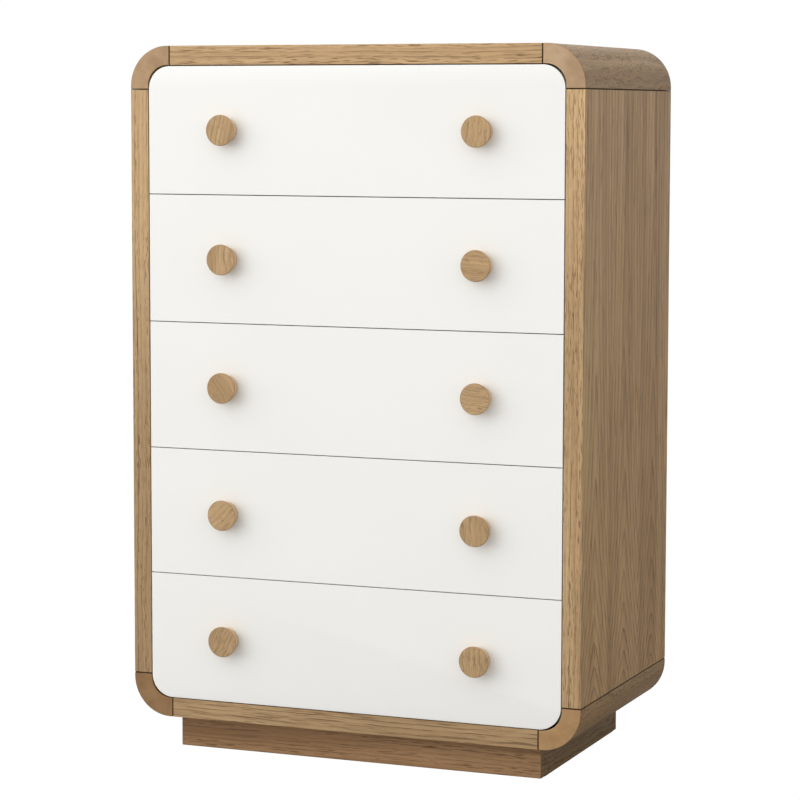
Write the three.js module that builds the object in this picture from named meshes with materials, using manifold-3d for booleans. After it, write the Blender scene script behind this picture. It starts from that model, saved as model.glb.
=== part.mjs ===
// Tall chest of five drawers: a rounded oak case on a set-back plinth, white fronts and two round knobs on each.
// Millimetres, +Z up, +X to the right. The fronts face -Y.
// The origin is on the floor, at the middle of the overall box, knobs included.
import * as THREE from "three";
import { mergeVertices } from "three/addons/utils/BufferGeometryUtils.js";
import Module from "manifold-3d";

const wasm = await Module();
wasm.setup();

// Case
const caseWidth = 890;
const caseDepth = 520;
const overallHeight = 1320;
const caseThickness = 36;
const cornerRadius = 74; // outside radius of the rounded corners
const cornerStraight = 6; // straight run between the end of each arc and its seam
const touchGap = 0.3; // between faces that touch

// Plinth
const plinthHeight = 60;
const plinthThickness = 20;
const plinthFrontInset = 30;
const plinthSideInset = 84;
const plinthBackInset = 45;

// Back panel, in a rebate round the back of the case
const backThickness = 6;
const rebateWidth = 8;
const rebateDepth = 10;
const rebateClearance = 0.5;

// Drawer fronts
const drawerCount = 5;
const frontThickness = 19;
const frontGap = 1.6; // between two fronts, and between a front and the case
const frontCornerEase = 4; // how much rounder a front is than the opening, so that a sliver of gap shows

// Knobs
const knobSpacing = 500;
const knobFaceRadius = 28.5;
const knobBaseRadius = 22.5;
const knobLength = 25;
const knobEdgeRound = 1.6;
const knobSides = 48;

// Drawer boxes
const boardThickness = 12;
const boxMargin = 23; // from the middle of the gap between two fronts to the box above or below it
const boxRearSpace = 41; // behind the box when the drawer is shut
const bottomThickness = 6;
const bottomGrooveDepth = 6;
const bottomHeight = 10; // from the foot of the box to the groove for its bottom
const grooveClearance = 0.4;

// Runners: a channel on the case, and a smaller one on the drawer that runs inside it
const runnerSpace = 13; // from the case to the drawer box
const runnerWall = 1.4;
const caseRunnerHeight = 45;
const caseRunnerDepth = 10.5;
const caseRunnerLip = 4;
const drawerRunnerHeight = 31;
const drawerRunnerDepth = 9.6;

// Front rails, above and below the middle drawer
const railThickness = 20;
const railDepth = 60;
const railSetBack = 2; // behind the drawer fronts

// Worked out from the sizes above
const overallDepth = caseDepth + touchGap + knobLength;
const caseBack = overallDepth / 2;
const caseFront = caseBack - caseDepth;
const caseMiddle = (caseFront + caseBack) / 2;
const caseHeight = overallHeight - plinthHeight;
const caseCentreHeight = plinthHeight + caseHeight / 2;
const cornerReach = cornerRadius + cornerStraight;
const openingRadius = cornerRadius - caseThickness;
const frontCornerRadius = openingRadius + frontCornerEase;
const openingWidth = caseWidth - 2 * caseThickness;
const openingBottom = plinthHeight + caseThickness;
const openingHeight = caseHeight - 2 * caseThickness;
const frontWidth = openingWidth - 2 * frontGap;
const frontHeight = (openingHeight - (drawerCount + 1) * frontGap) / drawerCount;
const drawerPitch = frontHeight + frontGap;
const backOfFronts = caseFront + frontThickness;
const backPanelFront = caseBack - rebateDepth;
const boxWidth = openingWidth - 2 * runnerSpace;
const boxFront = backOfFronts + touchGap;
const boxDepth = backPanelFront - boxRearSpace - boxFront;
const boxHeight = drawerPitch - 2 * boxMargin;
const boxFoot = boxMargin - frontGap / 2; // above the foot of its front

const oak = new THREE.MeshStandardMaterial({ color: 0xb0926a, roughness: 0.6, metalness: 0 });
const knobOak = new THREE.MeshStandardMaterial({ color: 0xb58f63, roughness: 0.55, metalness: 0 });
const whiteLacquer = new THREE.MeshStandardMaterial({ color: 0xf1f1ed, roughness: 0.4, metalness: 0 });
const drawerWood = new THREE.MeshStandardMaterial({ color: 0xd3b88f, roughness: 0.6, metalness: 0 });
const plywood = new THREE.MeshStandardMaterial({ color: 0xc9ac82, roughness: 0.7, metalness: 0 });
const steel = new THREE.MeshStandardMaterial({ color: 0xb4b7b9, roughness: 0.35, metalness: 1 });

const chest = new THREE.Group();

// Adds a named mesh to a group and returns it, for its place to be set.
function addPart(group, name, geometry, material) {
  const mesh = new THREE.Mesh(geometry, material);
  mesh.name = name;
  group.add(mesh);
  return mesh;
}

// A closed geometry as a manifold-3d solid.
function toSolid(geometry) {
  const bare = geometry.index ? geometry.toNonIndexed() : geometry.clone();
  bare.deleteAttribute("normal");
  bare.deleteAttribute("uv");
  const merged = mergeVertices(bare, 1e-3);
  const mesh = new wasm.Mesh({
    numProp: 3,
    vertProperties: merged.attributes.position.array,
    triVerts: new Uint32Array(merged.index.array),
  });
  return new wasm.Manifold(mesh);
}

// A manifold-3d solid as a three.js geometry.
function toGeometry(solid) {
  const mesh = solid.getMesh();
  const geometry = new THREE.BufferGeometry();
  geometry.setAttribute("position", new THREE.BufferAttribute(mesh.vertProperties, 3));
  geometry.setIndex(new THREE.BufferAttribute(mesh.triVerts, 1));
  geometry.computeVertexNormals();
  return geometry;
}

// An outline drawn in X and Z, extruded from front to back and centred on its own depth.
function extrudeDeep(outline, depth) {
  const geometry = new THREE.ExtrudeGeometry(outline, { depth, bevelEnabled: false, curveSegments: 16 });
  geometry.translate(0, 0, -depth / 2);
  geometry.rotateX(Math.PI / 2);
  return geometry;
}

function outlineOf(points) {
  return new THREE.Shape(points.map(([x, z]) => new THREE.Vector2(x, z)));
}

// A rectangle centred on its place, with one radius for the two upper corners and one for the two lower ones.
function roundedOutline(width, height, upperRadius, lowerRadius) {
  const right = width / 2;
  const top = height / 2;
  const outline = new THREE.Shape();
  if (lowerRadius > 0) {
    outline.absarc(-right + lowerRadius, -top + lowerRadius, lowerRadius, Math.PI, 1.5 * Math.PI);
    outline.absarc(right - lowerRadius, -top + lowerRadius, lowerRadius, 1.5 * Math.PI, 2 * Math.PI);
  } else {
    outline.moveTo(-right, -top);
    outline.lineTo(right, -top);
  }
  if (upperRadius > 0) {
    outline.absarc(right - upperRadius, top - upperRadius, upperRadius, 0, 0.5 * Math.PI);
    outline.absarc(-right + upperRadius, top - upperRadius, upperRadius, 0.5 * Math.PI, Math.PI);
  } else {
    outline.lineTo(right, top);
    outline.lineTo(-right, top);
  }
  outline.closePath();
  return outline;
}

// The case's panel: its outside face is at x 0, it is long in Z, and its back edge has the rebate.
function casePanel(length) {
  const front = -caseDepth / 2;
  const back = caseDepth / 2;
  const rebateFront = back - rebateDepth;
  const rebateSide = -(caseThickness - rebateWidth);
  const plan = outlineOf([
    [0, front],
    [0, back],
    [rebateSide, back],
    [rebateSide, rebateFront],
    [-caseThickness, rebateFront],
    [-caseThickness, front],
  ]);
  const geometry = new THREE.ExtrudeGeometry(plan, { depth: length, bevelEnabled: false });
  geometry.translate(0, 0, -length / 2);
  return geometry;
}

// A quarter ring round the origin with a short straight run at each end, for the upper right corner.
function cornerOutline(innerRadius) {
  const end = -(cornerStraight - touchGap / 2);
  const outline = new THREE.Shape();
  outline.moveTo(cornerRadius, end);
  outline.lineTo(cornerRadius, 0);
  outline.absarc(0, 0, cornerRadius, 0, 0.5 * Math.PI);
  outline.lineTo(end, cornerRadius);
  outline.lineTo(end, innerRadius);
  outline.absarc(0, 0, innerRadius, 0.5 * Math.PI, 0, true);
  outline.lineTo(innerRadius, end);
  outline.closePath();
  return outline;
}

// The corner block: a thin ring for the whole depth, and a full one that stops at the rebate.
function cornerBlock() {
  const skin = toSolid(extrudeDeep(cornerOutline(openingRadius + rebateWidth), caseDepth));
  const fullGeometry = extrudeDeep(cornerOutline(openingRadius), caseDepth - rebateDepth);
  const full = toSolid(fullGeometry.translate(0, -rebateDepth / 2, 0));
  return toGeometry(skin.add(full));
}

function addCase() {
  const sideLength = caseHeight - 2 * cornerReach - touchGap;
  const topLength = caseWidth - 2 * cornerReach - touchGap;
  const panels = [
    ["side_panel_right", sideLength, caseWidth / 2, caseCentreHeight, 0],
    ["top_panel", topLength, 0, overallHeight, -0.5],
    ["side_panel_left", sideLength, -caseWidth / 2, caseCentreHeight, 1],
    ["bottom_panel", topLength, 0, plinthHeight, 0.5],
  ];
  for (const [name, length, x, z, halfTurns] of panels) {
    const panel = addPart(chest, name, casePanel(length), oak);
    panel.position.set(x, caseMiddle, z);
    panel.rotation.y = halfTurns * Math.PI;
  }

  const acrossToArc = caseWidth / 2 - cornerRadius;
  const upToArc = caseHeight / 2 - cornerRadius;
  const corners = [
    ["corner_top_right", 1, 1, 0],
    ["corner_top_left", -1, 1, -0.5],
    ["corner_bottom_left", -1, -1, 1],
    ["corner_bottom_right", 1, -1, 0.5],
  ];
  for (const [name, side, end, halfTurns] of corners) {
    const corner = addPart(chest, name, cornerBlock(), oak);
    corner.position.set(side * acrossToArc, caseMiddle, caseCentreHeight + end * upToArc);
    corner.rotation.y = halfTurns * Math.PI;
  }

  const backSpread = 2 * (rebateWidth - rebateClearance);
  const backRadius = openingRadius + rebateWidth - rebateClearance;
  const backOutline = roundedOutline(
    openingWidth + backSpread,
    openingHeight + backSpread,
    backRadius,
    backRadius,
  );
  const back = addPart(chest, "back_panel", extrudeDeep(backOutline, backThickness), plywood);
  back.position.set(0, backPanelFront + touchGap + backThickness / 2, caseCentreHeight);
}

function addPlinth() {
  const width = caseWidth - 2 * plinthSideInset;
  const front = caseFront + plinthFrontInset;
  const back = caseBack - plinthBackInset;
  const height = plinthHeight - touchGap;
  const sideDepth = back - front - 2 * (plinthThickness + touchGap);
  const longBoard = new THREE.BoxGeometry(width, plinthThickness, height);
  const shortBoard = new THREE.BoxGeometry(plinthThickness, sideDepth, height);
  const boards = [
    ["plinth_front", longBoard, 0, front + plinthThickness / 2],
    ["plinth_back", longBoard, 0, back - plinthThickness / 2],
    ["plinth_left", shortBoard, -(width - plinthThickness) / 2, (front + back) / 2],
    ["plinth_right", shortBoard, (width - plinthThickness) / 2, (front + back) / 2],
  ];
  for (const [name, geometry, x, y] of boards) {
    addPart(chest, name, geometry, oak).position.set(x, y, height / 2);
  }
}

// The height of the middle of the gap under a drawer, counted from the lowest one.
function gapUnder(index) {
  return openingBottom + frontGap / 2 + index * drawerPitch;
}

function addRails() {
  const middle = Math.floor(drawerCount / 2);
  const length = openingWidth - 2 * touchGap;
  for (const [name, index] of [["front_rail_lower", middle], ["front_rail_upper", middle + 1]]) {
    const rail = addPart(chest, name, new THREE.BoxGeometry(length, railDepth, railThickness), drawerWood);
    rail.position.set(0, backOfFronts + railSetBack + railDepth / 2, gapUnder(index));
  }
}

// A channel with its web at x 0, opening towards -X, with a lip turned in at each open end if it has one.
function channelOutline(height, depth, lip) {
  const top = height / 2;
  const inside = top - runnerWall;
  const upper = [[-depth, top]];
  if (lip > 0) {
    upper.push([-depth, inside - lip], [-depth + runnerWall, inside - lip], [-depth + runnerWall, inside]);
  } else {
    upper.push([-depth, inside]);
  }
  upper.push([-runnerWall, inside]);
  const lower = upper.map(([x, z]) => [x, -z]).reverse();
  return outlineOf([[0, top], ...upper, ...lower, [0, -top]]);
}

function addCaseRunners(number, height) {
  const channel = extrudeDeep(channelOutline(caseRunnerHeight, caseRunnerDepth, caseRunnerLip), boxDepth);
  for (const [side, sign] of [["left", -1], ["right", 1]]) {
    const runner = addPart(chest, `case_runner_${number}_${side}`, channel, steel);
    runner.position.set(sign * (openingWidth / 2 - touchGap), boxFront + boxDepth / 2, height);
    runner.rotation.y = sign > 0 ? 0 : Math.PI;
  }
}

// Four walls in one ring, with a groove inside for the bottom.
function drawerBox() {
  const groovedWidth = boxWidth - 2 * (boardThickness - bottomGrooveDepth);
  const groovedDepth = boxDepth - 2 * (boardThickness - bottomGrooveDepth);
  const grooveHeight = bottomThickness + 2 * grooveClearance;
  const walls = toSolid(new THREE.BoxGeometry(boxWidth, boxDepth, boxHeight));
  const inside = toSolid(
    new THREE.BoxGeometry(boxWidth - 2 * boardThickness, boxDepth - 2 * boardThickness, 2 * boxHeight),
  );
  const groove = new THREE.BoxGeometry(groovedWidth, groovedDepth, grooveHeight);
  groove.translate(0, 0, -boxHeight / 2 + bottomHeight + bottomThickness / 2);
  return toGeometry(walls.subtract(inside).subtract(toSolid(groove)));
}

function drawerBottom() {
  const spread = 2 * (bottomGrooveDepth - boardThickness - grooveClearance);
  return new THREE.BoxGeometry(boxWidth + spread, boxDepth + spread, bottomThickness);
}

// A round knob on the Y axis: its base is at y 0 and its wider face looks along -Y.
function knobGeometry() {
  const rim = new THREE.EllipseCurve(
    knobFaceRadius - knobEdgeRound,
    -knobLength + knobEdgeRound,
    knobEdgeRound,
    knobEdgeRound,
    0,
    -0.5 * Math.PI,
    true,
  );
  const profile = [
    new THREE.Vector2(0, 0),
    new THREE.Vector2(knobBaseRadius, 0),
    ...rim.getPoints(3),
    new THREE.Vector2(0, -knobLength),
  ];
  return new THREE.LatheGeometry(profile.reverse(), knobSides);
}

// One drawer, in a group whose origin is at the middle of its front's foot, on the case's front face.
function addDrawer(number, index) {
  const drawer = new THREE.Group();
  drawer.position.set(0, caseFront, gapUnder(index) + frontGap / 2);
  chest.add(drawer);
  const name = `drawer_${number}`;

  const isTop = index === drawerCount - 1;
  const isBottom = index === 0;
  const frontOutline = roundedOutline(
    frontWidth,
    frontHeight,
    isTop ? frontCornerRadius : 0,
    isBottom ? frontCornerRadius : 0,
  );
  const front = addPart(drawer, `${name}_front`, extrudeDeep(frontOutline, frontThickness), whiteLacquer);
  front.position.set(0, frontThickness / 2, frontHeight / 2);

  for (const [side, sign] of [["left", -1], ["right", 1]]) {
    const knob = addPart(drawer, `${name}_knob_${side}`, knobGeometry(), knobOak);
    knob.position.set((sign * knobSpacing) / 2, -touchGap, frontHeight / 2);
  }

  const boxMiddle = frontThickness + touchGap + boxDepth / 2;
  const boxCentreHeight = boxFoot + boxHeight / 2;
  const box = addPart(drawer, `${name}_box`, drawerBox(), drawerWood);
  box.position.set(0, boxMiddle, boxCentreHeight);
  const bottom = addPart(drawer, `${name}_bottom`, drawerBottom(), plywood);
  bottom.position.set(0, boxMiddle, boxFoot + bottomHeight + bottomThickness / 2);

  // The drawer's channels face the case's, so each is turned the other way round.
  const channel = extrudeDeep(channelOutline(drawerRunnerHeight, drawerRunnerDepth, 0), boxDepth);
  for (const [side, sign] of [["left", -1], ["right", 1]]) {
    const runner = addPart(drawer, `${name}_runner_${side}`, channel, steel);
    runner.position.set(sign * (boxWidth / 2 + touchGap), boxMiddle, boxCentreHeight);
    runner.rotation.y = sign > 0 ? Math.PI : 0;
  }
  addCaseRunners(number, drawer.position.z + boxCentreHeight);
}

addCase();
addPlinth();
addRails();
// Drawer 1 is the top one.
for (let index = 0; index < drawerCount; index += 1) {
  addDrawer(drawerCount - index, index);
}

export default chest;
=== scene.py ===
import math
import bmesh
import bpy
from mathutils import Matrix, Vector


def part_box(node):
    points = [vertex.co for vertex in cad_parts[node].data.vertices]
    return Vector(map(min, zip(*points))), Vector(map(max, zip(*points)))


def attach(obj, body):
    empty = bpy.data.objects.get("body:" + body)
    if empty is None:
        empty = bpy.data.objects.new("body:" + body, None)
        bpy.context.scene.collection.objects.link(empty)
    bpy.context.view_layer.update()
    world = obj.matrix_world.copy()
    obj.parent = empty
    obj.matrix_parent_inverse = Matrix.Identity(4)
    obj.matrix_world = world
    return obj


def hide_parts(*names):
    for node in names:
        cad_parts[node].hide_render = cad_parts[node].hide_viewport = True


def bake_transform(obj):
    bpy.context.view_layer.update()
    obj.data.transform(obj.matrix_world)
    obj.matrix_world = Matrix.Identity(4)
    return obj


# A tall chest of five drawers: its camera and light, then its woods and finishes, then each piece in turn.
# Metres, +Z up, the fronts face -Y.

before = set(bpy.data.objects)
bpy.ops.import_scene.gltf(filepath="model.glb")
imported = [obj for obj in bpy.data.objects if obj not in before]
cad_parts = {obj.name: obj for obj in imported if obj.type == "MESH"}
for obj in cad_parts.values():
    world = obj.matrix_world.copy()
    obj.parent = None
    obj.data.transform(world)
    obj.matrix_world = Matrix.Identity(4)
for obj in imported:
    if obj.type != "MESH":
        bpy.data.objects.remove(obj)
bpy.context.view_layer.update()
scene = bpy.context.scene
mm = 0.001
drawers = [1, 2, 3, 4, 5]  # from the top down
hands = {"left": -1, "right": 1}
xAxis, yAxis, zAxis = (1, 0, 0), (0, 1, 0), (0, 0, 1)


# A number or vector on its way through a material, so that it can be used in sums.
class Wire:
    def __init__(self, shader, socket):
        self.shader = shader
        self.socket = socket

    def __add__(self, other):
        return self.shader.maths("ADD", self, other)

    def __sub__(self, other):
        return self.shader.maths("SUBTRACT", self, other)

    def __rsub__(self, other):
        return self.shader.maths("SUBTRACT", other, self)

    def __mul__(self, other):
        return self.shader.maths("MULTIPLY", self, other)

    def __truediv__(self, other):
        return self.shader.maths("DIVIDE", self, other)

    __radd__ = __add__
    __rmul__ = __mul__


# The nodes of one material, or of the world.
class Shader:
    def __init__(self, owner):
        self.owner = owner
        owner.use_nodes = True
        self.tree = owner.node_tree
        self.finish = self.tree.nodes.get("Principled BSDF")
        self.coords = self.node("ShaderNodeTexCoord", output="Object")

    def plug(self, socket, value):
        if isinstance(value, Wire):
            self.tree.links.new(value.socket, socket)
        else:
            socket.default_value = value

    def node(self, kind, settings=None, inputs=None, output=0):
        made = self.tree.nodes.new(kind)
        for key, value in (settings or {}).items():
            setattr(made, key, value)
        for key, value in (inputs or {}).items():
            self.plug(made.inputs[key], value)
        return Wire(self, made.outputs[output])

    def show(self, surface):
        output = next(node for node in self.tree.nodes if node.bl_idname.startswith("ShaderNodeOutput"))
        self.plug(output.inputs["Surface"], surface)

    def maths(self, operation, *values):
        return self.node("ShaderNodeMath", {"operation": operation}, dict(enumerate(values)))

    def stretch(self, vector, scale):
        return self.node("ShaderNodeVectorMath", {"operation": "MULTIPLY"}, {0: vector, 1: scale})

    def split(self, vector):
        return [self.node("ShaderNodeSeparateXYZ", None, {0: vector}, axis) for axis in range(3)]

    def join(self, x, y, z):
        return self.node("ShaderNodeCombineXYZ", None, {0: x, 1: y, 2: z})

    def noise(self, vector, scale=1.0, detail=2.0, roughness=0.5):
        sizes = {"Scale": scale, "Detail": detail, "Roughness": roughness}
        return self.node("ShaderNodeTexNoise", None, {"Vector": vector, **sizes})

    # 0 below low, 1 above high, and smooth in between
    def ease(self, value, low, high, start=0.0, end=1.0):
        ends = {"From Min": low, "From Max": high, "To Min": start, "To Max": end}
        return self.node("ShaderNodeMapRange", {"interpolation_type": "SMOOTHSTEP"}, {"Value": value, **ends})

    def blend(self, factor, first, second, way="MIX"):
        settings = {"data_type": "RGBA", "blend_type": way}
        return self.node("ShaderNodeMix", settings, {0: factor, 6: first, 7: second}, 2)

    # Object coordinates turned so that X runs along the grain, Y across the face and Z into the wood
    def grain(self, along, across, shift=(0, 0, 0)):
        along = Vector(along).normalized()
        across = Vector(across).normalized()
        turn = Matrix((along, across, along.cross(across))).to_euler()
        return self.node("ShaderNodeMapping", None, {"Vector": self.coords, "Rotation": turn, "Location": shift})

    def bump(self, height, distance, strength=1.0):
        sizes = {"Height": height, "Distance": distance, "Strength": strength}
        self.plug(self.finish.inputs["Normal"], self.node("ShaderNodeBump", None, sizes))

    def paint(self, wood, roughness):
        self.plug(self.finish.inputs["Base Color"], wood)
        self.plug(self.finish.inputs["Roughness"], roughness)


def newShader(name):
    return Shader(bpy.data.materials.new(name))


def colour(red, green, blue):
    return (red, green, blue, 1)


cameraFacts = {
    "place": (1.9904, -4.9262, 1.1984),
    "yaw": 22.035,
    "pitch": -5.371,
    "roll": 0.108,
    "lens": 126.27,
    "shiftY": -0.03,
    "farClip": 80,
}


def addCamera(facts):
    data = bpy.data.cameras.new("camera")
    data.lens = facts["lens"]
    data.shift_y = facts["shiftY"]
    data.clip_end = facts["farClip"]
    camera = bpy.data.objects.new("camera", data)
    scene.collection.objects.link(camera)
    turn = Matrix.Rotation(math.radians(facts["yaw"]), 4, "Z")
    turn = turn @ Matrix.Rotation(math.radians(90 + facts["pitch"]), 4, "X")
    turn = turn @ Matrix.Rotation(math.radians(facts["roll"]), 4, "Z")
    camera.matrix_world = Matrix.Translation(facts["place"]) @ turn
    scene.camera = camera


studio = {
    "aim": Vector((0, 0, 0.65)),
    "lights": [
        # name, place, width, height, power, colour
        ("key", (-2.9, -4.0, 3.9), 5.6, 4.8, 58, (1.0, 0.985, 0.96)),
        ("overhead", (0.0, -0.4, 4.6), 3.2, 3.2, 12, (1.0, 1.0, 1.0)),
    ],
    "skyTop": 1.38,
    "skyFoot": 2.05,
    "skyLeft": 1.08,
    "skyRight": 0.52,
    "skyRise": (-0.2, 0.9),  # where the sky's foot ends and its top starts
    "seenWhite": 1.02,
    "floorRadius": 14,
    "floorColour": colour(0.42, 0.41, 0.4),
}


# The camera sees the sky and the floor as plain white, whatever light they give the chest.
def addStudio(facts):
    for name, place, width, height, power, tint in facts["lights"]:
        data = bpy.data.lights.new(name, "AREA")
        data.shape = "RECTANGLE"
        data.size = width
        data.size_y = height
        data.energy = power
        data.color = tint
        light = bpy.data.objects.new(name, data)
        light.location = place
        light.rotation_euler = (facts["aim"] - Vector(place)).to_track_quat("-Z", "Y").to_euler()
        scene.collection.objects.link(light)

    sky = Shader(bpy.data.worlds.new("studio"))
    scene.world = sky.owner
    way = sky.node("ShaderNodeTexCoord", output="Generated")
    east, _, up = sky.split(way)
    strength = sky.ease(up, *facts["skyRise"], facts["skyFoot"], facts["skyTop"])
    strength = strength * sky.ease(east, -1, 1, facts["skyLeft"], facts["skyRight"])
    around = sky.node("ShaderNodeBackground", None, {"Color": colour(1, 1, 1), "Strength": strength})
    seen = sky.node("ShaderNodeBackground", None, {"Color": colour(1, 1, 1), "Strength": facts["seenWhite"]})
    byCamera = sky.node("ShaderNodeLightPath", output="Is Camera Ray")
    sky.show(sky.node("ShaderNodeMixShader", None, {0: byCamera, 1: around, 2: seen}))

    bm = bmesh.new()
    bmesh.ops.create_circle(bm, cap_ends=True, segments=96, radius=facts["floorRadius"])
    mesh = bpy.data.meshes.new("floor")
    bm.to_mesh(mesh)
    bm.free()
    floor = bpy.data.objects.new("floor", mesh)
    scene.collection.objects.link(floor)
    ground = newShader("floorPaint")
    matt = ground.node("ShaderNodeBsdfDiffuse", None, {"Color": facts["floorColour"]})
    white = ground.node("ShaderNodeEmission", None, {"Strength": facts["seenWhite"]})
    byCamera = ground.node("ShaderNodeLightPath", output="Is Camera Ray")
    ground.show(ground.node("ShaderNodeMixShader", None, {0: byCamera, 1: matt, 2: white}))
    mesh.materials.append(ground.owner)
    scene.view_settings.view_transform = "Standard"


addCamera(cameraFacts)
addStudio(studio)
print("camera and studio done")

stain = {
    "light": colour(0.565, 0.382, 0.2),
    "mid": colour(0.42, 0.27, 0.133),
    "dark": colour(0.15, 0.083, 0.036),
}
greyStain = {
    "light": colour(0.407, 0.252, 0.105),
    "mid": colour(0.298, 0.174, 0.07),
    "dark": colour(0.118, 0.066, 0.027),
}
redStain = {
    "light": colour(0.37, 0.213, 0.102),
    "mid": colour(0.25, 0.136, 0.06),
    "dark": colour(0.1, 0.052, 0.022),
}
lippingLook = {
    "stain": stain,
    "ringSpacing": 0.0085,
    "ringUneven": 1.4,
    "ringDepth": 0.16,  # of the soft shade that each ring ends in
    "lineDepth": 0.75,  # of the thin dark line at a ring's edge
    "sway": 0.02,
    "swayLength": 2.2,
    "dashLength": 0.035,  # of the stretches that a ring's line is broken into
    "strokeLength": 0.022,
    "strokeWidth": 0.0019,
    "strokeDepth": 0.7,
    "strokeStart": 0.55,
    "bandDepth": 0.85,
}
stileLook = {**lippingLook, "paintedLightRise": 0.32}  # painted light and shade by height: how much lighter the wood is painted a metre up
railLook = {
    **lippingLook,
    "ringSpacing": 0.0095,
    "lineDepth": 1.0,
    "sway": 0.022,
    "swayLength": 3.5,
    "dashLength": 0.06,
    "strokeLength": 0.034,
    "strokeDepth": 0.9,
}
lowRailLook = {**railLook, "lineDepth": 0.85, "strokeLength": 0.05, "strokeWidth": 0.0016, "strokeDepth": 0.65}
footLook = {**railLook, "stain": redStain, "bandDepth": 1.0, "lineDepth": 0.7, "strokeDepth": 0.72}
deepLook = {
    **lippingLook,
    "stain": greyStain,
    "ringSpacing": 0.006,
    "ringDepth": 0.2,
    "lineDepth": 0.34,
    "sway": 0.022,
    "swayLength": 9,
    "dashLength": 0.03,
    "strokeLength": 0.014,
    "strokeWidth": 0.0026,
    "strokeDepth": 0.42,
    "strokeStart": 0.54,
}
veneerLook = {
    **lippingLook,
    "stain": greyStain,
    "ringSpacing": 0.0165,
    "ringUneven": 0.5,
    "ringDepth": 0.3,
    "lineDepth": 0.95,
    "sway": 0.016,
    "dashLength": 0.13,
    "strokeLength": 0.05,
    "strokeWidth": 0.0022,
    "strokeDepth": 0.5,
    "bandDepth": 1.0,
    "leafWidth": 0.1733,
    "flameFoot": 0.13,
    "flameTaper": 0.55,
    "flameReach": 0.28,
    "heartDistance": 0.012,
}
paleLook = {
    **lippingLook,
    "stain": {
        "light": colour(0.63, 0.475, 0.3),
        "mid": colour(0.55, 0.39, 0.23),
        "dark": colour(0.33, 0.2, 0.1),
    },
    "ringSpacing": 0.016,
    "ringUneven": 1.8,
    "ringDepth": 0.22,
    "lineDepth": 0.28,
    "sway": 0.03,
    "dashLength": 0.15,
    "strokeWidth": 0.0015,
    "strokeDepth": 0.16,
}
plyLook = {**paleLook, "ringSpacing": 0.026, "sway": 0.24, "swayLength": 0.9, "lineDepth": 0.4, "dashLength": 0.3}
topLook = {**veneerLook, "flameFoot": -0.3, "flameReach": 0.36, "lineDepth": 0.7}

# What all the oaks share. Noise sizes are cycles a metre: along the grain, across the face, into the wood.
oakFacts = {
    "swayAcross": 7,
    "uneven": (0.7, 55, 55),
    "dashAcross": 150,
    "clumps": (3.5, 70, 70),
    "hairs": (28, 1100, 1100),
    "threads": (9, 380, 380),
    "pores": (75, 2300, 2300),
    "bands": (1.0, 26, 26),
    "clouds": (2.2, 7, 7),
    "ringSlant": 0.35,  # how far rings move across the face, for each step into the wood
    "leafSlant": 0.08,  # how much one leaf of veneer differs from the next
    "seamWidth": 0.001,
    "seamDepth": 0.25,
    "poreDepth": 0.24,
    "yearLength": 0.43,  # cycles of strong and faint years, for each ring
    "grainHeight": 0.0002,
    "specular": 0.25,
}


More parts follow.
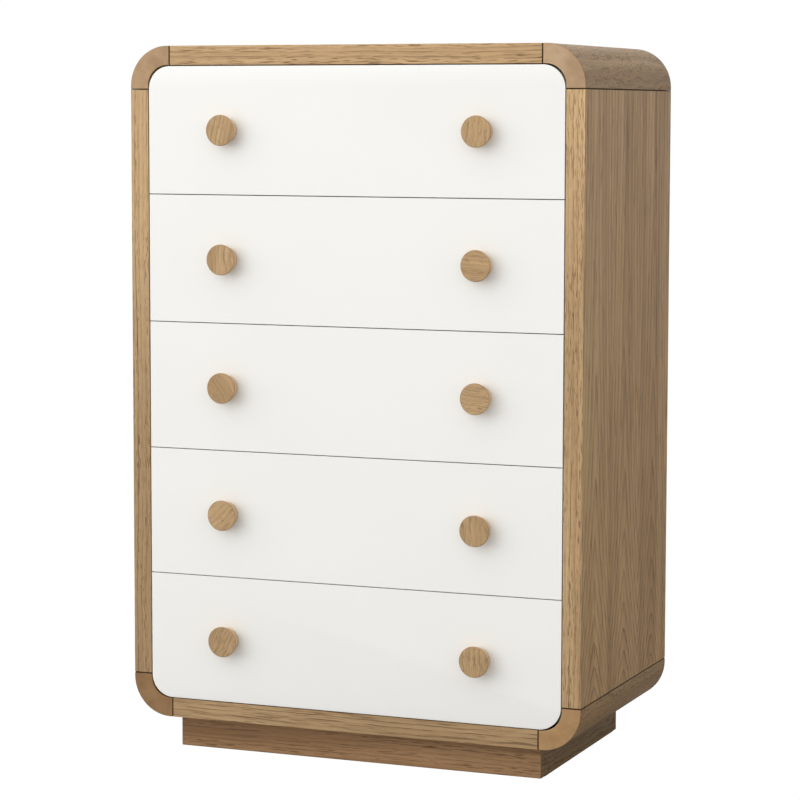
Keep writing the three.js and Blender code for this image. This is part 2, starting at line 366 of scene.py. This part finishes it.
def oak(name, along, across, look, shift=(0, 0, 0), tone=1.0):
    shader = newShader(name)
    grain = shader.grain(along, across, shift)
    length, width, depth = shader.split(grain)
    shown = 1.0
    seam = None
    if "leafWidth" in look:
        # leaves of veneer side by side, each with the same pointed arches that stretch into straight grain
        leaf = look["leafWidth"]
        fromMiddle = shader.maths("FRACT", width / leaf + 0.5) * leaf - leaf / 2
        seam = shader.ease(shader.maths("ABSOLUTE", fromMiddle), leaf / 2 - oakFacts["seamWidth"], leaf / 2)
        figure = shader.join(length, fromMiddle + width * oakFacts["leafSlant"], depth)
    else:
        figure = grain
    swaySize = (look["swayLength"], oakFacts["swayAcross"], oakFacts["swayAcross"])
    swayed = shader.noise(shader.stretch(figure, swaySize), detail=3) - 0.5
    uneven = shader.noise(shader.stretch(figure, oakFacts["uneven"]), detail=2) - 0.5
    if seam:
        fromMiddle = fromMiddle + swayed * look["sway"]
        heart = shader.maths("SQRT", fromMiddle * fromMiddle + look["heartDistance"] ** 2)
        fading = shader.maths("EXPONENT", (look["flameFoot"] - length) / look["flameReach"])
        rings = (heart + (1 - fading) * (look["flameReach"] * look["flameTaper"])) / look["ringSpacing"]
        shown = shader.maths("MINIMUM", fading * 0.45 + 0.55, 1.0)
    else:
        rings = (width + depth * oakFacts["ringSlant"] + swayed * look["sway"]) / look["ringSpacing"]
    rings = rings + uneven * look["ringUneven"]
    phase = shader.maths("FRACT", rings)
    ended = shader.ease(phase, 0.94, 1.0, 1.0, 0.0)
    late = shader.ease(phase, 0.2, 0.9) * ended
    years = shader.noise(shader.join(rings * oakFacts["yearLength"], 0, 0), detail=1)
    year = shader.ease(years, 0.36, 0.62, 0.15)
    bent = shader.join(length, width + swayed * look["sway"], depth)
    dashSize = (1 / look["dashLength"], oakFacts["dashAcross"], oakFacts["dashAcross"])
    whole = shader.ease(shader.noise(shader.stretch(bent, dashSize), detail=2), 0.38, 0.56)
    line = shader.ease(phase, 0.7, 0.88) * ended * year * whole * shown

    strokeSize = (1 / look["strokeLength"], 1 / look["strokeWidth"], 1 / look["strokeWidth"])
    strokeNoise = shader.noise(shader.stretch(bent, strokeSize), detail=1.2, roughness=0.55)
    clumps = shader.ease(shader.noise(shader.stretch(grain, oakFacts["clumps"]), detail=1), 0.38, 0.6)
    strokes = shader.ease(strokeNoise, look["strokeStart"], look["strokeStart"] + 0.1) * (0.25 + clumps * 0.75)
    hairs = shader.noise(shader.stretch(grain, oakFacts["hairs"]), detail=1)
    threads = shader.noise(shader.stretch(grain, oakFacts["threads"]), detail=2)
    pores = shader.ease(shader.noise(shader.stretch(grain, oakFacts["pores"]), detail=1), 0.57, 0.7)
    bandNoise = shader.noise(shader.stretch(grain, oakFacts["bands"]), detail=3, roughness=0.55)
    bands = shader.ease(bandNoise, 0.3, 0.7)
    clouds = shader.noise(shader.stretch(grain, oakFacts["clouds"]), detail=3)

    wood = shader.blend(bands * look["bandDepth"], look["stain"]["light"], look["stain"]["mid"])
    wood = shader.blend(late * look["ringDepth"], wood, look["stain"]["dark"])
    wood = shader.blend(line * look["lineDepth"], wood, look["stain"]["dark"])
    wood = shader.blend(strokes * look["strokeDepth"], wood, look["stain"]["dark"])
    wood = shader.blend(pores * oakFacts["poreDepth"], wood, look["stain"]["dark"])
    if seam:
        wood = shader.blend(seam * oakFacts["seamDepth"], wood, look["stain"]["dark"])
    lightness = (0.52 + hairs * 0.26 + threads * 0.3 + clouds * 0.4) * tone
    # painted shade low down and painted light higher up: the wood is made lighter with height
    if "paintedLightRise" in look:
        lightness = lightness * (1 + shader.split(shader.coords)[2] * look["paintedLightRise"])
    wood = shader.blend(1.0, wood, shader.join(lightness, lightness, lightness), "MULTIPLY")
    shader.paint(wood, 0.52 + strokes * 0.2 + bands * 0.06)
    shader.bump(hairs * 0.4 - strokes - line * 0.4 - pores * 0.6, oakFacts["grainHeight"], 0.5)
    shader.finish.inputs["Specular IOR Level"].default_value = oakFacts["specular"]
    return shader.owner


# Across the fibres oak is plain and smooth: soft clouds, a hint of rings, and pores as fine dots
def endGrain(name, along, across, tint, gloss=oakFacts["specular"]):
    shader = newShader(name)
    grain = shader.grain(along, across)
    clouds = shader.noise(shader.stretch(grain, (26, 26, 26)), detail=3)
    rings = shader.noise(shader.stretch(grain, (60, 260, 60)), detail=2)
    dots = shader.ease(shader.noise(grain, 900, detail=1), 0.6, 0.72)
    wood = shader.blend(shader.ease(clouds, 0.3, 0.75), stain["light"], stain["mid"])
    wood = shader.blend(rings * 0.1 + dots * 0.1, wood, stain["dark"])
    wood = shader.blend(1.0, wood, colour(*tint), "MULTIPLY")
    shader.paint(wood, 0.5 + clouds * 0.1)
    shader.bump(dots * -1.0 + clouds * 0.2, oakFacts["grainHeight"], 0.5)
    shader.finish.inputs["Specular IOR Level"].default_value = gloss
    return shader.owner


def lacquer(name):
    shader = newShader(name)
    clouds = shader.noise(shader.coords, 5, detail=3)
    peel = shader.noise(shader.coords, 340, detail=2)
    grain = shader.noise(shader.stretch(shader.coords, (9, 160, 160)), detail=2)
    white = shader.blend(clouds, colour(0.8, 0.8, 0.775), colour(0.825, 0.825, 0.802))
    shader.paint(white, 0.34 + clouds * 0.08 + peel * 0.04)
    shader.bump(peel * 0.5 + grain * 0.3, 0.00008, 0.5)
    return shader.owner


def steel(name, tint, roughness):
    shader = newShader(name)
    rolled = shader.noise(shader.stretch(shader.coords, (900, 14, 900)), detail=2)
    clouds = shader.noise(shader.coords, 30, detail=3)
    metal = shader.blend(clouds, colour(*tint), colour(*[part * 0.8 for part in tint]))
    shader.paint(metal, roughness + rolled * 0.15 + clouds * 0.08)
    shader.finish.inputs["Metallic"].default_value = 1
    shader.bump(rolled, 0.00005, 0.4)
    return shader.owner


rightLipping = oak("rightLipping", zAxis, xAxis, stileLook, tone=0.8)
leftLipping = oak("leftLipping", zAxis, xAxis, stileLook, (0.9, 0.3, 0), 0.71)
topLipping = oak("topLipping", xAxis, zAxis, railLook)
# the bottom rail's low tone is painted shade, for the weaker light low on the case
bottomLipping = oak("bottomLipping", xAxis, zAxis, lowRailLook, (2.3, 0.1, 0.4), 0.79)
uprightVeneer = oak("uprightVeneer", zAxis, yAxis, veneerLook, tone=0.95)
acrossVeneer = oak("acrossVeneer", xAxis, yAxis, topLook, (0.3, 0.02, 0))
deepOak = oak("deepOak", yAxis, (1, 0, 1), deepLook, tone=0.7)
grooveStain = endGrain("grooveStain", xAxis, zAxis, (0.12, 0.1, 0.08), 0.05)
whiteLacquer = lacquer("whiteLacquer")
birchDeep = oak("birchDeep", yAxis, zAxis, paleLook)
birchAcross = oak("birchAcross", xAxis, zAxis, paleLook)
birchEnd = endGrain("birchEnd", yAxis, zAxis, (1.05, 1.05, 1.11))
plyFlat = oak("plyFlat", xAxis, yAxis, plyLook, (0.4, 0.3, 0.1))
plyUpright = oak("plyUpright", zAxis, xAxis, plyLook, tone=0.9)
zinc = steel("zinc", (0.62, 0.63, 0.64), 0.3)
print("materials done")


def copyOf(node):
    bm = bmesh.new()
    bm.from_mesh(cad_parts[node].data)
    bmesh.ops.remove_doubles(bm, verts=bm.verts, dist=0.01 * mm)
    bmesh.ops.dissolve_limit(bm, angle_limit=math.radians(0.4), verts=bm.verts, edges=bm.edges)
    return bm


def board(low, high):
    bm = bmesh.new()
    bmesh.ops.create_cube(bm, size=1)
    bmesh.ops.scale(bm, vec=high - low, verts=bm.verts)
    bmesh.ops.translate(bm, vec=(low + high) / 2, verts=bm.verts)
    return bm


def sharpEdges(bm, angle=60):
    limit = math.radians(angle)
    return [edge for edge in bm.edges if len(edge.link_faces) == 2 and edge.calc_face_angle() > limit]


def ease(bm, edges, radius, segments=3, material=-1):
    bmesh.ops.bevel(
        bm,
        geom=edges,
        offset=radius,
        offset_type="OFFSET",
        affect="EDGES",
        segments=segments,
        profile=0.5,
        material=material,
        clamp_overlap=True,
    )


def addPiece(name, bm, materials, body, replaced=(), smoothBelow=14):
    bmesh.ops.recalc_face_normals(bm, faces=bm.faces)
    mesh = bpy.data.meshes.new(name)
    bm.to_mesh(mesh)
    bm.free()
    for polygon in mesh.polygons:
        polygon.use_smooth = True
    mesh.set_sharp_from_angle(angle=math.radians(smoothBelow))
    for material in materials:
        mesh.materials.append(material)
    piece = bpy.data.objects.new(name, mesh)
    scene.collection.objects.link(piece)
    if body:
        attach(piece, body)
    if replaced:
        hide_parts(*replaced)
    return piece


caseFacts = {
    "edgeRadius": 1.0 * mm,
    "grooveWidth": 1.1 * mm,  # of the chamfer on each side of a seam
    # each corner's own end-grain tone; the bottom corners are tinted darker as painted shade low down on the case
    "cornerTintsAndShade": {
        "corner_top_left": (0.8, 0.785, 0.85),
        "corner_top_right": (0.9, 0.92, 1.05),
        "corner_bottom_left": (0.51, 0.44, 0.38),
        "corner_bottom_right": (0.79, 0.725, 0.65),
    },
}


# Chamfers the edges that lie in a seam's plane, with the stain that gathers there as the third material.
def cutGroove(bm, axis, place, width):
    inPlane = [
        edge
        for edge in sharpEdges(bm)
        if all(abs(vert.co[axis] - place) < 0.05 * mm for vert in edge.verts)
    ]
    ease(bm, inPlane, width, 1, 2)


# Outside the grooves, the front and the back have the second material and the rest has the first.
def paintEnds(bm):
    for face in bm.faces:
        if face.material_index != 2:
            face.material_index = 1 if abs(face.normal.y) > 0.8 else 0


def addCasePanel(name, seamAxis, faceMaterial, frontMaterial):
    low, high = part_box(name)
    bm = copyOf(name)
    for place in (low[seamAxis], high[seamAxis]):
        cutGroove(bm, seamAxis, place, caseFacts["grooveWidth"])
    ease(bm, sharpEdges(bm), caseFacts["edgeRadius"])
    paintEnds(bm)
    addPiece(name + "_oak", bm, [faceMaterial, frontMaterial, grooveStain], "carcass", [name])


def addCorner(name, xSide, zSide):
    low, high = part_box(name)
    bm = copyOf(name)
    cutGroove(bm, 0, low.x if xSide > 0 else high.x, caseFacts["grooveWidth"])
    cutGroove(bm, 2, low.z if zSide > 0 else high.z, caseFacts["grooveWidth"])
    ease(bm, sharpEdges(bm), caseFacts["edgeRadius"])
    paintEnds(bm)
    end = endGrain(name + "_end", xAxis, zAxis, caseFacts["cornerTintsAndShade"][name])
    addPiece(name + "_oak", bm, [deepOak, end, grooveStain], "carcass", [name])


addCasePanel("side_panel_left", 2, uprightVeneer, leftLipping)
addCasePanel("side_panel_right", 2, uprightVeneer, rightLipping)
addCasePanel("top_panel", 0, acrossVeneer, topLipping)
addCasePanel("bottom_panel", 0, acrossVeneer, bottomLipping)
for hand, side in hands.items():
    addCorner(f"corner_top_{hand}", side, 1)
    addCorner(f"corner_bottom_{hand}", side, -1)
print("case done")


plinthFacts = {"edgeRadius": 2.0 * mm, "endRadius": 0.6 * mm}
railFacts = {"edgeRadius": 1.0 * mm}
backFacts = {"edgeRadius": 0.4 * mm}


# With a second material, it goes on the board's left and right ends.
def addBoard(node, materials, radius):
    bm = board(*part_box(node))
    ease(bm, sharpEdges(bm), radius)
    if len(materials) > 1:
        for face in bm.faces:
            face.material_index = 1 if abs(face.normal.x) > 0.7 else 0
    addPiece(node + "_board", bm, materials, "carcass", [node])


plinthAcross = oak("plinthAcross", xAxis, zAxis, footLook, (3.1, 0.4, 1.7))
# the plinth's sides and board ends get a very low tone, painted shade under the case's overhang
plinthDeepShaded = oak("plinthDeepShaded", yAxis, zAxis, {**footLook, "stain": greyStain}, (1.1, 2.4, 0.7), 0.48)
for place in ("front", "back"):
    addBoard(f"plinth_{place}", [plinthAcross, plinthDeepShaded], plinthFacts["edgeRadius"])
for hand in hands:
    addBoard(f"plinth_{hand}", [plinthDeepShaded], plinthFacts["endRadius"])
for place in ("lower", "upper"):
    addBoard(f"front_rail_{place}", [birchAcross], railFacts["edgeRadius"])

backSheet = copyOf("back_panel")
ease(backSheet, sharpEdges(backSheet), backFacts["edgeRadius"], 2)
addPiece("back_sheet", backSheet, [plyUpright], "carcass", ["back_panel"])
print("plinth, rails and back done")


frontFacts = {"edgeRadius": 0.6 * mm}


def addFront(number):
    node = f"drawer_{number}_front"
    bm = copyOf(node)
    ease(bm, sharpEdges(bm), frontFacts["edgeRadius"], 4)
    addPiece(node + "_lacquered", bm, [whiteLacquer], f"drawer_{number}", [node])


knobFacts = {
    "rimRadius": 1.7 * mm,
    "rimSteps": 5,
    "faceRings": (2.2, 1.4),  # how far inside the edge of the face, in rim radii
    "footRadius": 22.5 * mm,
    "footFlare": (0.5 * mm, 1.2 * mm),  # outwards and forwards, next to the drawer's front
    "sides": 72,
    "grainShift": (0.37, 0.011, 0.1),  # along for each drawer, across for each degree, and into the wood
    # degrees the grain is turned from upright on each knob, left and right, from the top drawer down
    "turns": [(12, 3), (6, 96), (-38, 102), (50, -12), (28, 5)],
    "tones": [(0.87, 0.97), (0.9, 0.95), (0.9, 0.9), (0.87, 0.86), (0.8, 0.86)],
}
knobLook = {
    **lippingLook,
    "ringSpacing": 0.0105,
    "ringUneven": 2.2,
    "ringDepth": 0.16,
    "lineDepth": 0.4,
    "sway": 0.03,
    "swayLength": 11,
    "strokeLength": 0.014,
    "strokeWidth": 0.0016,
    "strokeDepth": 0.5,
}
# painted light: the knob's side is tinted lighter than its wood, as if lit from the right and by the white front
# beside it
knobSidePaintedLight = endGrain("knobSidePaintedLight", zAxis, xAxis, (1.2, 1.2, 1.27))
# the eased edge round the face is tinted darker, partly darker stain and partly painted shade
knobEdgeShaded = endGrain("knobEdgeShaded", zAxis, xAxis, (0.72, 0.72, 0.76))


def addKnob(number, hand, turn, tone):
    node = f"drawer_{number}_knob_{hand}"
    low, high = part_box(node)
    middle = (low + high) / 2
    radius = (high.x - low.x) / 2
    rim = knobFacts["rimRadius"]
    bm = bmesh.new()
    outline = [(0, low.y)] + [(radius - rim * inset, low.y) for inset in knobFacts["faceRings"]]
    for step in range(knobFacts["rimSteps"] + 1):
        angle = math.pi / 2 * step / knobFacts["rimSteps"]
        outline.append((radius - rim + rim * math.sin(angle), low.y + rim - rim * math.cos(angle)))
    foot = knobFacts["footRadius"]
    flareOut, flareForward = knobFacts["footFlare"]
    outline += [(foot + flareOut, high.y - flareForward), (foot, high.y), (0, high.y)]
    verts = [bm.verts.new((middle.x + out, y, middle.z)) for out, y in outline]
    edges = [bm.edges.new(pair) for pair in zip(verts, verts[1:])]
    bmesh.ops.spin(
        bm,
        geom=verts + edges,
        cent=middle,
        axis=(0, 1, 0),
        angle=2 * math.pi,
        steps=knobFacts["sides"],
        use_merge=True,
    )
    bmesh.ops.remove_doubles(bm, verts=bm.verts, dist=0.01 * mm)
    bmesh.ops.recalc_face_normals(bm, faces=bm.faces)
    lean = math.radians(turn)
    along = (math.sin(lean), 0, math.cos(lean))
    across = (math.cos(lean), 0, -math.sin(lean))
    perDrawer, perDegree, inward = knobFacts["grainShift"]
    wood = oak(f"{node}_oak", along, across, knobLook, (number * perDrawer, turn * perDegree, inward), tone)
    # the face, the eased edge round it, and the side
    for face in bm.faces:
        face.material_index = 0 if face.normal.y < -0.9 else 1 if face.normal.y < -0.2 else 2
    addPiece(node + "_turned", bm, [wood, knobEdgeShaded, knobSidePaintedLight], f"drawer_{number}", [node], 30)


for number in drawers:
    addFront(number)
    for hand, turn, tone in zip(hands, knobFacts["turns"][number - 1], knobFacts["tones"][number - 1]):
        addKnob(number, hand, turn, tone)
print("fronts and knobs done")


boxFacts = {
    "thickness": 12 * mm,
    "tails": 4,
    "tailShare": 0.34,  # half of a tail's width at its end, of the tails' spacing
    "tailSlope": 2.2 * mm,
    "jointGap": 0.15 * mm,
    "pinBite": 0.05 * mm,  # how far a pin starts inside its board
    "topRadius": 2.5 * mm,
    "shortEdge": 0.1,  # edges along the top that are shorter than this belong to a joint and stay sharp
}


# An outline pushed along a straight line into a closed solid, added to bm.
def addPrism(bm, outline, reach, material=0):
    start = bm.faces.new([bm.verts.new(point) for point in outline])
    grown = bmesh.ops.extrude_face_region(bm, geom=[start], use_keep_orig=True)
    grownVerts = [part for part in grown["geom"] if isinstance(part, bmesh.types.BMVert)]
    bmesh.ops.translate(bm, vec=reach, verts=grownVerts)
    for face in grown["geom"]:
        if isinstance(face, bmesh.types.BMFace):
            face.material_index = material


# Where each dovetail starts and ends, at the end of the board and at its shoulder, from the foot up.
def tailHeights(low, high):
    spacing = (high.z - low.z) / boxFacts["tails"]
    atEnd = spacing * boxFacts["tailShare"]
    atShoulder = atEnd - boxFacts["tailSlope"]
    middles = [low.z + (index + 0.5) * spacing for index in range(boxFacts["tails"])]
    return [(middle - atShoulder, middle - atEnd, middle + atEnd, middle + atShoulder) for middle in middles]


def tailedEnd(low, high, end, shoulder):
    points = [(shoulder, low.z)]
    for footShoulder, foot, top, topShoulder in tailHeights(low, high):
        points += [(shoulder, footShoulder), (end, foot), (end, top), (shoulder, topShoulder)]
    return points + [(shoulder, high.z)]


def easeTop(bm, height, radius):
    longEdges = [edge for edge in sharpEdges(bm) if edge.calc_length() > boxFacts["shortEdge"]]
    top = [edge for edge in longEdges if all(abs(vert.co.z - height) < 0.1 * mm for vert in edge.verts)]
    ease(bm, top, radius, 4)


def addBoxSide(number, hand, side, low, high):
    thickness = boxFacts["thickness"]
    bm = bmesh.new()
    outline = tailedEnd(low, high, low.y, low.y + thickness)
    outline += reversed(tailedEnd(low, high, high.y, high.y - thickness))
    x = high.x if side > 0 else low.x
    addPrism(bm, [(x, y, z) for y, z in outline], (-side * thickness, 0, 0))
    easeTop(bm, high.z, boxFacts["topRadius"])
    addPiece(f"drawer_{number}_side_{hand}", bm, [birchDeep], f"drawer_{number}")


# The sub-front or the back: a board between the sides, with pins that fill the gaps between their tails.
def addBoxEnd(name, number, low, high, end, shoulder, replaced=()):
    thickness = boxFacts["thickness"]
    gap = boxFacts["jointGap"]
    bite = boxFacts["pinBite"]
    inner = Vector((high.x - thickness, max(end, shoulder), high.z))
    bm = board(Vector((low.x + thickness, min(end, shoulder), low.z)), inner)
    easeTop(bm, high.z, boxFacts["topRadius"])
    heights = tailHeights(low, high)
    starts = [(low.z, low.z)] + [(topShoulder + gap, top + gap) for _, _, top, topShoulder in heights]
    stops = [(footShoulder - gap, foot - gap) for footShoulder, foot, _, _ in heights] + [(high.z, high.z)]
    for side in hands.values():
        x = side * (inner.x - bite)
        for (startShoulder, start), (stopShoulder, stop) in zip(starts, stops):
            outline = [(x, shoulder, startShoulder), (x, shoulder, stopShoulder), (x, end, stop), (x, end, start)]
            addPrism(bm, outline, (side * (thickness + bite), 0, 0), 1)
    addPiece(name, bm, [birchAcross, birchEnd], f"drawer_{number}", replaced)


def addDrawerBox(number):
    low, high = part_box(f"drawer_{number}_box")
    thickness = boxFacts["thickness"]
    for hand, side in hands.items():
        addBoxSide(number, hand, side, low, high)
    name = f"drawer_{number}_sub_front"
    addBoxEnd(name, number, low, high, low.y, low.y + thickness, [f"drawer_{number}_box"])
    addBoxEnd(f"drawer_{number}_back", number, low, high, high.y, high.y - thickness)
    bottomLow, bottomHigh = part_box(f"drawer_{number}_bottom")
    inset = Vector((thickness, thickness, 0))
    bottomLow = Vector((low.x, low.y, bottomLow.z)) + inset
    bottomHigh = Vector((high.x, high.y, bottomHigh.z)) - inset
    bm = board(bottomLow, bottomHigh)
    replaced = [f"drawer_{number}_bottom"]
    addPiece(f"drawer_{number}_bottom_sheet", bm, [plyFlat], f"drawer_{number}", replaced)


for number in drawers:
    addDrawerBox(number)
print("drawer boxes done")


runnerFacts = {
    "wall": 1.4 * mm,
    "edgeRadius": 0.35 * mm,
    "ballRadius": 2.5 * mm,
    "balls": 9,
    "cageLength": 0.25,
    "cageThickness": 0.7 * mm,
    "cageGap": 0.35 * mm,  # from the case channel to the cage
    "ballPlace": 1.35,  # from the case channel to a ball's middle, in ball radii
    "cageReach": 2.6,  # from the case channel to the far edge of the cage, in ball radii
    "cageEnd": 10 * mm,  # from the runner's back to the cage's, with the drawer shut
    "far": 500,  # so far from both ends of the blend that the whole cage is halfway between them
}
screwFacts = {
    "sides": 16,
    "radius": 3.4 * mm,
    "height": 1.3 * mm,
    "rim": 0.5 * mm,
    "crossLength": 2.0 * mm,
    "crossWidth": 0.45 * mm,
    "crossDepth": 0.9 * mm,
    "crossTaper": 0.7,
    "turn": 0.8,  # radians, from one screw of a piece to the next
}


# A pan head with a cross recess, looking along +Z from the ground.
def screwHead(facts):
    bm = bmesh.new()
    circle = bmesh.ops.create_circle(bm, segments=facts["sides"], radius=facts["radius"] - facts["rim"])
    bmesh.ops.translate(bm, vec=(0, 0, facts["height"]), verts=circle["verts"])
    outerEdges = list(bm.edges)
    half, long = facts["crossWidth"], facts["crossLength"]
    corner = [(long, -half), (long, half), (half, half)]
    cross = []
    for quarter in range(4):
        turn = Matrix.Rotation(quarter * math.pi / 2, 2)
        cross += [bm.verts.new((*(turn @ Vector(point)), facts["height"])) for point in corner]
    crossEdges = [bm.edges.new(pair) for pair in zip(cross, cross[1:] + cross[:1])]
    bmesh.ops.triangle_fill(bm, use_beauty=True, edges=outerEdges + crossEdges)

    sunk = bmesh.ops.extrude_edge_only(bm, edges=crossEdges)["geom"]
    sunkVerts = [part for part in sunk if isinstance(part, bmesh.types.BMVert)]
    bmesh.ops.translate(bm, vec=(0, 0, -facts["crossDepth"]), verts=sunkVerts)
    bmesh.ops.scale(bm, vec=(facts["crossTaper"], facts["crossTaper"], 1), verts=sunkVerts)
    bmesh.ops.contextual_create(bm, geom=[part for part in sunk if isinstance(part, bmesh.types.BMEdge)])

    edges = outerEdges
    for drop, spread in ((facts["rim"], facts["radius"] / (facts["radius"] - facts["rim"])), (None, 1)):
        made = bmesh.ops.extrude_edge_only(bm, edges=edges)["geom"]
        verts = [part for part in made if isinstance(part, bmesh.types.BMVert)]
        edges = [part for part in made if isinstance(part, bmesh.types.BMEdge)]
        fall = drop if drop else verts[0].co.z
        bmesh.ops.translate(bm, vec=(0, 0, -fall), verts=verts)
        bmesh.ops.scale(bm, vec=(spread, spread, 1), verts=verts)
    bmesh.ops.contextual_create(bm, geom=edges)
    bmesh.ops.recalc_face_normals(bm, faces=bm.faces)
    mesh = bpy.data.meshes.new("screwHead")
    bm.to_mesh(mesh)
    bm.free()
    return mesh


headMesh = screwHead(screwFacts)


# One piece holding a screw head at each spot, looking the given way, each turned a little differently.
def addScrews(name, spots, body, size=1.0):
    bm = bmesh.new()
    for index, (place, way) in enumerate(spots):
        held = len(bm.verts)
        bm.from_mesh(headMesh)
        bm.verts.ensure_lookup_table()
        turn = Vector(way).to_track_quat("Z", "Y").to_matrix().to_4x4()
        spin = Matrix.Rotation(index * screwFacts["turn"], 4, "Z")
        spot = Matrix.Translation(place) @ turn @ spin @ Matrix.Scale(size, 4)
        bmesh.ops.transform(bm, matrix=spot, verts=bm.verts[held:])
    addPiece(name, bm, [zinc], body, (), 30)


screwPlaces = {
    "backInset": 9 * mm,  # from the edge of the back panel
    "backAcross": 5,
    "backUp": 7,
    "runner": [0.03, 0.21, 0.40],  # from the front of a runner
    "drawerShift": 0.015,  # how much further back the screws of a drawer's channel are
    "runnerSize": 0.9,  # of the head's drawn size
    "frontInset": (0.09, 0.035),  # of the screws that hold a front to its box, from the box's corners
    "boxSize": 1.25,
}


def addBackScrews():
    low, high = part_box("back_panel")
    y = high.y
    inset = screwPlaces["backInset"]
    left, right, foot, top = low.x + inset, high.x - inset, low.z + inset, high.z - inset
    spots = []
    for index in range(screwPlaces["backAcross"]):
        x = left + (right - left) * (index + 0.5) / screwPlaces["backAcross"]
        spots += [((x, y, foot), yAxis), ((x, y, top), yAxis)]
    for index in range(screwPlaces["backUp"]):
        z = foot + (top - foot) * (index + 0.5) / screwPlaces["backUp"]
        spots += [((left, y, z), yAxis), ((right, y, z), yAxis)]
    addScrews("back_screws", spots, "carcass")


def addRunnerScrews(number):
    caseSpots = []
    drawerSpots = []
    for hand, side in hands.items():
        low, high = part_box(f"case_runner_{number}_{hand}")
        wall = (high.x if side > 0 else low.x) - side * runnerFacts["wall"]
        middle = (low.z + high.z) / 2
        caseSpots += [((wall, low.y + reach, middle), (-side, 0, 0)) for reach in screwPlaces["runner"]]
        low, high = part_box(f"drawer_{number}_runner_{hand}")
        wall = (low.x if side > 0 else high.x) + side * runnerFacts["wall"]
        front = low.y + screwPlaces["drawerShift"]
        drawerSpots += [((wall, front + reach, middle), (side, 0, 0)) for reach in screwPlaces["runner"]]
    size = screwPlaces["runnerSize"]
    addScrews(f"case_runner_{number}_screws", caseSpots, "carcass", size)
    addScrews(f"drawer_{number}_runner_screws", drawerSpots, f"drawer_{number}", size)


def addBoxScrews(number):
    low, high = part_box(f"drawer_{number}_box")
    y = low.y + boxFacts["thickness"]
    spots = []
    knobLow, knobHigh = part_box(f"drawer_{number}_knob_right")
    knobMiddle = (knobLow + knobHigh) / 2
    acrossInset, upInset = screwPlaces["frontInset"]
    for side in hands.values():
        spots.append(((side * knobMiddle.x, y, knobMiddle.z), yAxis))
        for z in (low.z + upInset, high.z - upInset):
            spots.append(((side * (high.x - acrossInset), y, z), yAxis))
    addScrews(f"drawer_{number}_box_screws", spots, f"drawer_{number}", screwPlaces["boxSize"])


def addRunner(node, body):
    bm = copyOf(node)
    ease(bm, sharpEdges(bm), runnerFacts["edgeRadius"], 2)
    addPiece(node + "_rolled", bm, [zinc], body, [node])


# The cage rolls half as far as its drawer slides; here it is built in place and joined to no body.
def addCage(number, hand, side):
    low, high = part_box(f"case_runner_{number}_{hand}")
    _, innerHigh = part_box(f"drawer_{number}_runner_{hand}")
    wall = (high.x if side > 0 else low.x) - side * runnerFacts["wall"]
    ballRadius = runnerFacts["ballRadius"]
    thin = runnerFacts["cageThickness"]
    track = (innerHigh.z + high.z - runnerFacts["wall"]) / 2
    middle = (low.z + high.z) / 2
    back = high.y - runnerFacts["cageEnd"]
    front = back - runnerFacts["cageLength"]
    web = wall - side * runnerFacts["cageGap"]
    lip = wall - side * runnerFacts["cageReach"] * ballRadius
    over, under = track + thin / 2, track - thin / 2
    outline = [(web, over), (lip, over), (lip, under), (web - side * thin, under)]
    outline += [(x, 2 * middle - z) for x, z in reversed(outline)]
    bm = bmesh.new()
    addPrism(bm, [(x, front, z) for x, z in outline], (0, back - front, 0))
    spacing = (back - front) / runnerFacts["balls"]
    for index in range(runnerFacts["balls"]):
        for z in (track, 2 * middle - track):
            x = wall - side * runnerFacts["ballPlace"] * ballRadius
            place = Vector((x, front + (index + 0.5) * spacing, z))
            spot = Matrix.Translation(place)
            bmesh.ops.create_icosphere(bm, subdivisions=1, radius=ballRadius, matrix=spot)
    cage = addPiece(f"drawer_{number}_cage_{hand}", bm, [zinc], None, (), 50)
    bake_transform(cage)


for number in drawers:
    for hand, side in hands.items():
        addRunner(f"case_runner_{number}_{hand}", "carcass")
        addRunner(f"drawer_{number}_runner_{hand}", f"drawer_{number}")
        addCage(number, hand, side)
    addRunnerScrews(number)
    addBoxScrews(number)
addBackScrews()
print("runners and screws done")
